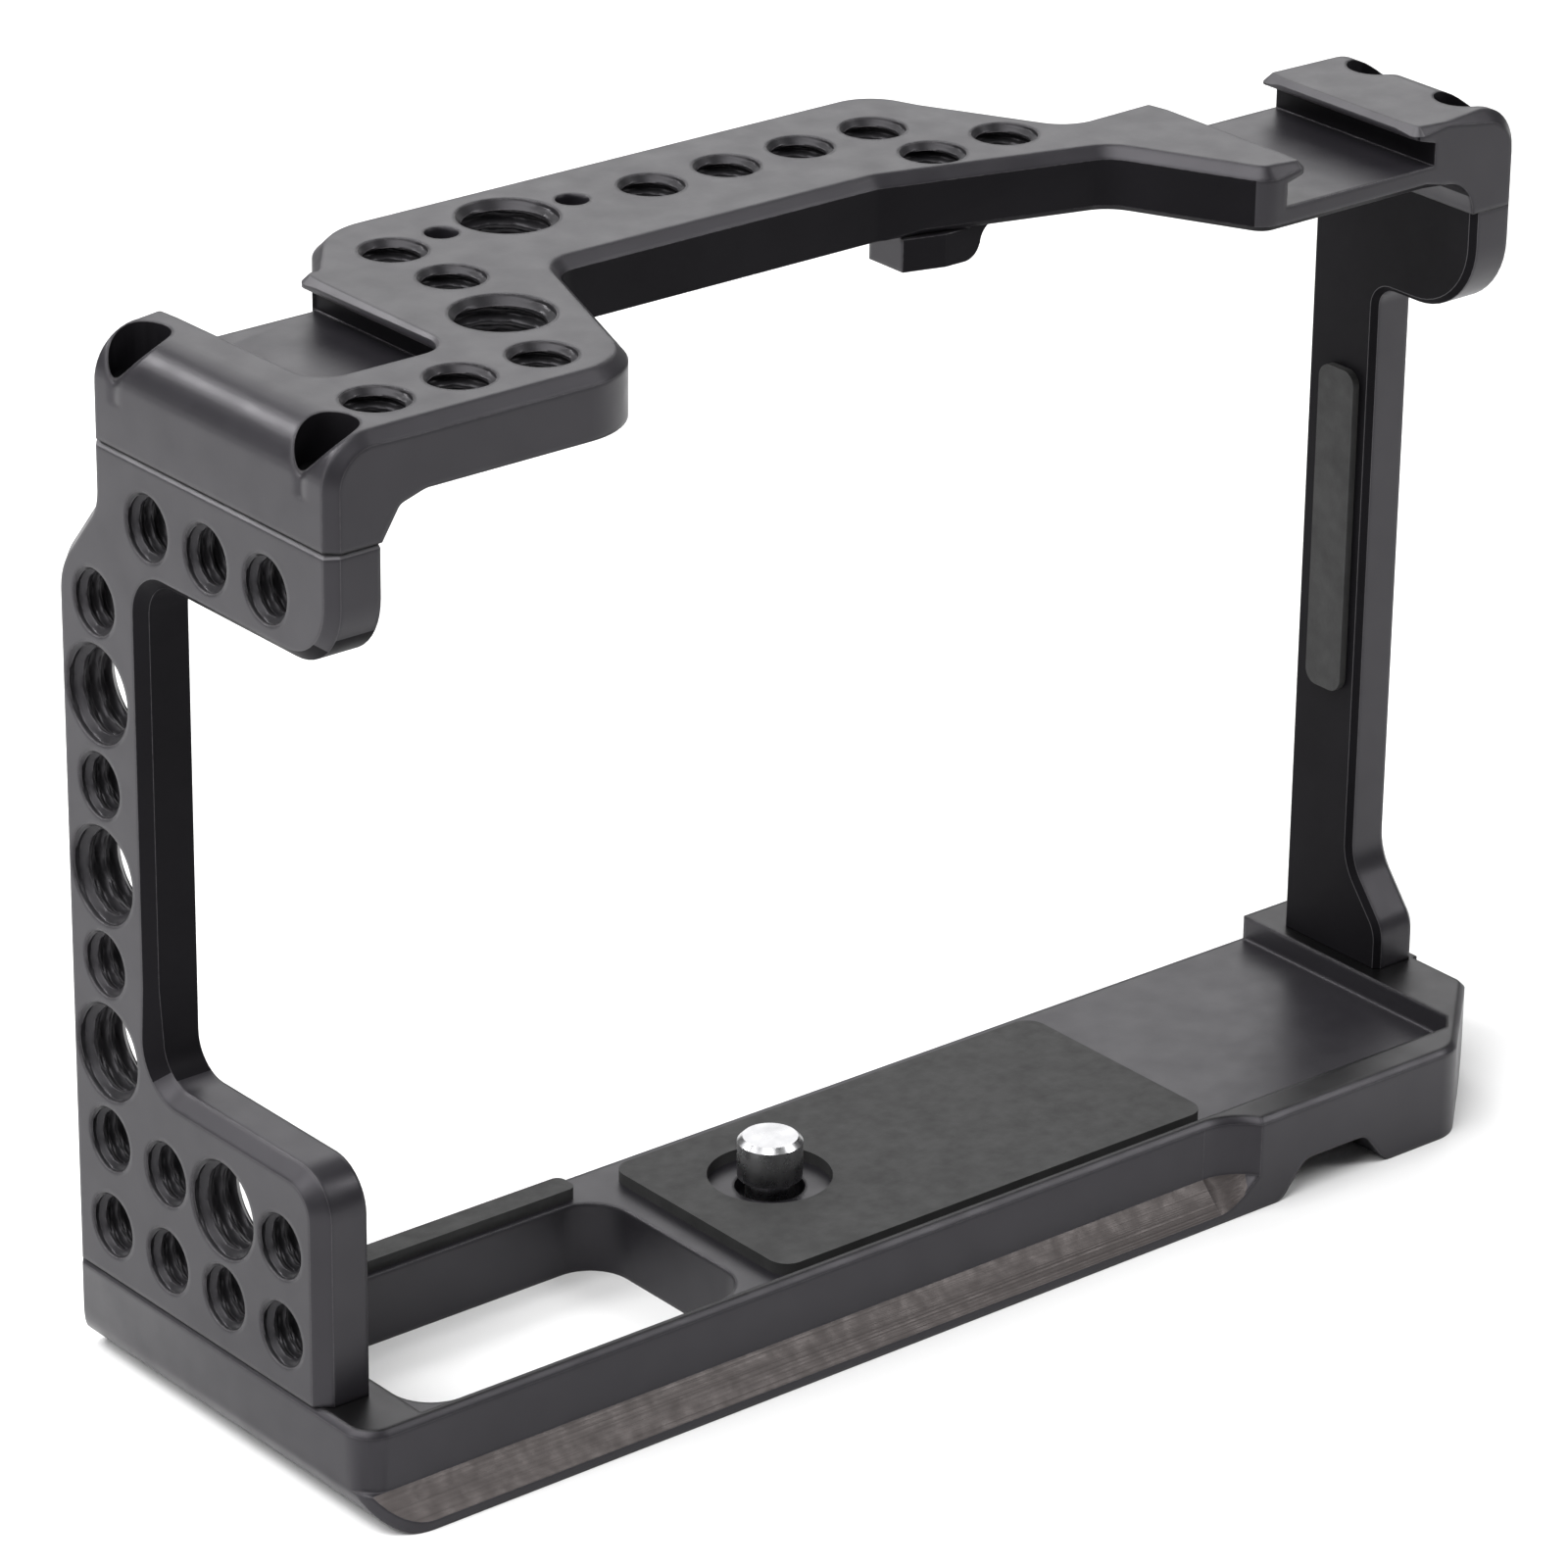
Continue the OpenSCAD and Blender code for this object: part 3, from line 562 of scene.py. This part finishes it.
def anodised(name, dark, light, rough, soften, sheen=0.4):
    """Dyed aluminium between two tones, with worn edges softened over a width."""
    material, tree, shader = new_material(name)
    cloud = spread(tree, noise(tree, scale=60, detail=4), 0.0, 1.0)
    tone = blend(tree, cloud, dark, light)
    tone = blend(tree, edge_wear(tree), tone, WORN)
    tree.links.new(joint_shade_line(tree, tone), shader.inputs["Base Color"])
    tree.links.new(spread(tree, noise(tree, scale=300, detail=4), *rough), shader.inputs["Roughness"])
    shader.inputs["IOR"].default_value = OXIDE_IOR
    shader.inputs["Specular IOR Level"].default_value = sheen
    shader.inputs["Specular Tint"].default_value = OXIDE_TINT
    grain = noise(tree, scale=5200, detail=2)
    bump(tree, shader, grain, GRAIN, soft_edge=soft_edges(tree, soften))
    return material


black = anodised("black_anodised", (0.012, 0.0112, 0.0135), (0.016, 0.015, 0.018),
                 rough=(0.34, 0.42), soften=0.65 * MM)
# lighter grey for bevels and crisp edges: partly rubbed wear, partly a painted highlight where they would
# catch the light
edge = anodised("worn_and_highlit_edge", (0.040, 0.039, 0.042), (0.060, 0.058, 0.062),
                rough=(0.36, 0.46), soften=0.06 * MM)
# painted shade: a darker, duller black for the inner faces, standing in for the shade of the camera's body
inside = anodised("painted_shade_black", (0.006, 0.0056, 0.0066), (0.009, 0.0085, 0.010),
                  rough=(0.42, 0.5), soften=0.2 * MM, sheen=0.05)
thread = anodised("cut_thread", (0.010, 0.010, 0.011), (0.018, 0.017, 0.019),
                  rough=(0.32, 0.42), soften=0.03 * MM, sheen=0.3)
print("anodised finishes:", [material.name for material in (black, edge, inside, thread)])

# %% [markdown]
# ## The rail's milled face
# The clamping face shows fine lines along the rail, such as a milling cutter leaves. Noise that is squeezed
# across the rail and drawn out along it gives such lines, and the same noise drives colour and bump, so
# that every dark line is also a groove.

# %% the milled flank's finish
MARKS = (14, 4200, 4200)
FLANK_TINT = (1.0, 0.9, 0.88, 1)
FLANK_ROUGH = 0.42
FLANK_SPREAD = 0.08
MARK_DEPTH = 0.03 * MM


def milled(name, dark, light):
    """A face left as the cutter made it, with its marks along the rail."""
    material, tree, shader = new_material(name)
    marks = noise(tree, scale=1.0, detail=2, stretch=MARKS)
    tone = blend(tree, spread(tree, marks, 0.0, 1.0), dark, light)
    tree.links.new(tone, shader.inputs["Base Color"])
    patches = noise(tree, scale=700, detail=4)
    rough = spread(tree, patches, FLANK_ROUGH - FLANK_SPREAD, FLANK_ROUGH + FLANK_SPREAD)
    tree.links.new(rough, shader.inputs["Roughness"])
    shader.inputs["Specular Tint"].default_value = FLANK_TINT
    bump(tree, shader, marks, MARK_DEPTH)
    return material


flank = milled("milled_flank", (0.030, 0.026, 0.0255), (0.046, 0.040, 0.039))
print("milled finish:", flank.name)

# %% [markdown]
# ## Steel, nylon and rubber
# The joint screws are black oxide steel, the pins are ground, the captive screw with its clip and ring is
# bright, its washer is nylon and the pads are rubber. They are small or hidden, so two plain recipes do
# for all of them: a metal, and a soft material with a coarser surface.

# %% small finishes
SMOOTHER = 0.05         # steel's roughness goes this far below its middle
ROUGHER = 0.06          # and this far above, and a soft material's this far both ways
STEEL_GRAIN = 0.002 * MM
SOFT_GRAIN = 0.02 * MM


def varied(tree, shader, dark, light, rough, colour_scale, rough_scale):
    """Varies a shader's colour and roughness by noise of two sizes."""
    cloud = spread(tree, noise(tree, colour_scale, detail=3), 0.0, 1.0)
    tree.links.new(blend(tree, cloud, dark, light), shader.inputs["Base Color"])
    tree.links.new(spread(tree, noise(tree, rough_scale, detail=3), *rough), shader.inputs["Roughness"])


def steel(name, dark, light, rough):
    """A metal with a fine grain."""
    material, tree, shader = new_material(name)
    limits = (rough - SMOOTHER, rough + ROUGHER)
    varied(tree, shader, dark, light, limits, colour_scale=400, rough_scale=900)
    shader.inputs["Metallic"].default_value = 1.0
    bump(tree, shader, noise(tree, scale=3000, detail=2), STEEL_GRAIN)
    return material


def soft(name, dark, light, rough):
    """Nylon or rubber, with a coarser surface than metal."""
    material, tree, shader = new_material(name)
    limits = (rough - ROUGHER, rough + ROUGHER)
    varied(tree, shader, dark, light, limits, colour_scale=250, rough_scale=700)
    bump(tree, shader, noise(tree, scale=2600, detail=3), SOFT_GRAIN)
    return material


black_oxide = steel("black_oxide", (0.012, 0.012, 0.013), (0.03, 0.03, 0.031), rough=0.42)
bright_steel = steel("bright_steel", (0.42, 0.42, 0.43), (0.55, 0.55, 0.56), rough=0.28)
ground_steel = steel("ground_steel", (0.50, 0.50, 0.50), (0.62, 0.62, 0.62), rough=0.22)
nylon = soft("nylon", (0.62, 0.60, 0.54), (0.70, 0.68, 0.62), rough=0.5)
rubber = soft("rubber", (0.018, 0.018, 0.018), (0.03, 0.03, 0.03), rough=0.75)
print("materials so far:", len(bpy.data.materials))

# %% [markdown]
# ## Dressing the pieces
# A plate takes four materials in the order of its slots, and every other piece takes one. Clearing a
# mesh's materials also sends all its faces back to the first slot, so the faces are sorted after that.

# %% plates and threads
def dress(piece, *materials):
    """Gives a piece its materials, in the order of its slots."""
    piece.data.materials.clear()
    for material in materials:
        piece.data.materials.append(material)


for node, piece in plates.items():
    dress(piece, black, edge, flank, inside)
    mark_faces(piece, node)
for piece in (left_threads, top_threads):
    dress(piece, thread)

# %% screws, pins, pads and the captive screw
for node, piece in nodes.items():
    if node.endswith("_screws"):
        dress(piece, black_oxide)
    elif "dowel" in node:
        dress(piece, ground_steel)
    elif "pad" in node:
        dress(piece, rubber)
for node in ("camera_screw", "screw_ring", "retaining_clip"):
    dress(nodes[node], bright_steel)
dress(nodes["screw_washer"], nylon)
print("dressed:", len(plates), "plates, 2 thread pieces and", len(nodes) - len(plates), "other nodes")

# %% [markdown]
# ## Studio
# The cage stands on a pale floor that is far larger than it, so that no horizon shows. A faint white world
# fills the shadows. The finish is nearly black, so its shape is read from what it reflects: a large soft
# box overhead draws the top faces, and dimmer ones at the sides draw the walls and fillets.

# %% floor and background
FLOOR_SIZE = 6.0
FLOOR_COLOUR = (0.86, 0.86, 0.86, 1)
FLOOR_ROUGH = 0.9
FLOOR_SHEEN = 0.1
bpy.ops.mesh.primitive_plane_add(size=FLOOR_SIZE, location=(0, 0, 0))
floor = bpy.context.object
floor.name = "floor"
floor_material = new_material("pale_floor")[0]
floor_shader = floor_material.node_tree.nodes["Principled BSDF"]
floor_shader.inputs["Base Color"].default_value = FLOOR_COLOUR
floor_shader.inputs["Roughness"].default_value = FLOOR_ROUGH
floor_shader.inputs["Specular IOR Level"].default_value = FLOOR_SHEEN
dress(floor, floor_material)

WORLD_STRENGTH = 0.12
world = bpy.data.worlds.new("studio")
bpy.context.scene.world = world
world.use_nodes = True
background = world.node_tree.nodes["Background"]
background.inputs["Color"].default_value = (1, 1, 1, 1)
background.inputs["Strength"].default_value = WORLD_STRENGTH
print("floor of", FLOOR_SIZE, "m, world at", WORLD_STRENGTH)


# %% lights
CAGE_MIDDLE = (70, -17, 51)


def direction(azimuth, elevation):
    """Unit vector from the cage towards a place seen at these angles in degrees."""
    a = math.radians(azimuth)
    e = math.radians(elevation)
    return Vector((math.sin(a) * math.cos(e), -math.cos(a) * math.cos(e), math.sin(e)))


def soft_box(name, azimuth, elevation, distance, size, power):
    """A square lamp on a sphere round the cage, facing its middle."""
    lamp = bpy.data.lights.new(name, "AREA")
    lamp.shape = "SQUARE"
    lamp.size = size
    lamp.energy = power
    back = direction(azimuth, elevation)
    holder = bpy.data.objects.new(name, lamp)
    bpy.context.scene.collection.objects.link(holder)
    holder.location = place(*CAGE_MIDDLE) + back * distance
    holder.rotation_euler = (-back).to_track_quat("-Z", "Y").to_euler()
    print(name, "at", azimuth, elevation, "degrees,", power, "W")


soft_box("overhead", azimuth=-85, elevation=64, distance=1.4, size=1.3, power=28)
soft_box("far_side", azimuth=140, elevation=38, distance=1.0, size=1.0, power=6.0)
soft_box("left_side", azimuth=-105, elevation=20, distance=0.5, size=0.28, power=0.7)
soft_box("left_edges", azimuth=-150, elevation=40, distance=0.8, size=0.2, power=2.6)
soft_box("back_edges", azimuth=50, elevation=38, distance=0.9, size=0.3, power=2.6)

# %% [markdown]
# ## Camera
# A long lens from some way off keeps the cage's parallel edges nearly parallel.
# The camera is first turned upright towards the cage, and then rolled by just under a degree.

# %% camera
AZIMUTH = -40.064
ELEVATION = 24.061
ROLL = math.radians(0.917)
cam_data = bpy.data.cameras.new("camera")
cam_data.lens = 162.04
cam_data.sensor_width = 36.0
cam_data.shift_x = -0.0319
cam_data.shift_y = 0.0029
cam_data.clip_start = 0.01
camera = bpy.data.objects.new("camera", cam_data)
bpy.context.scene.collection.objects.link(camera)
camera.location = (-0.38914, -0.46294, 0.31511)
camera.rotation_mode = "QUATERNION"
upright = (-direction(AZIMUTH, ELEVATION)).to_track_quat("-Z", "Y")
camera.rotation_quaternion = upright @ Matrix.Rotation(ROLL, 3, "Z").to_quaternion()
bpy.context.scene.camera = camera
bpy.context.scene.view_settings.view_transform = "Standard"
print("camera", round(camera.location.length, 3), "m from the middle of the underside")
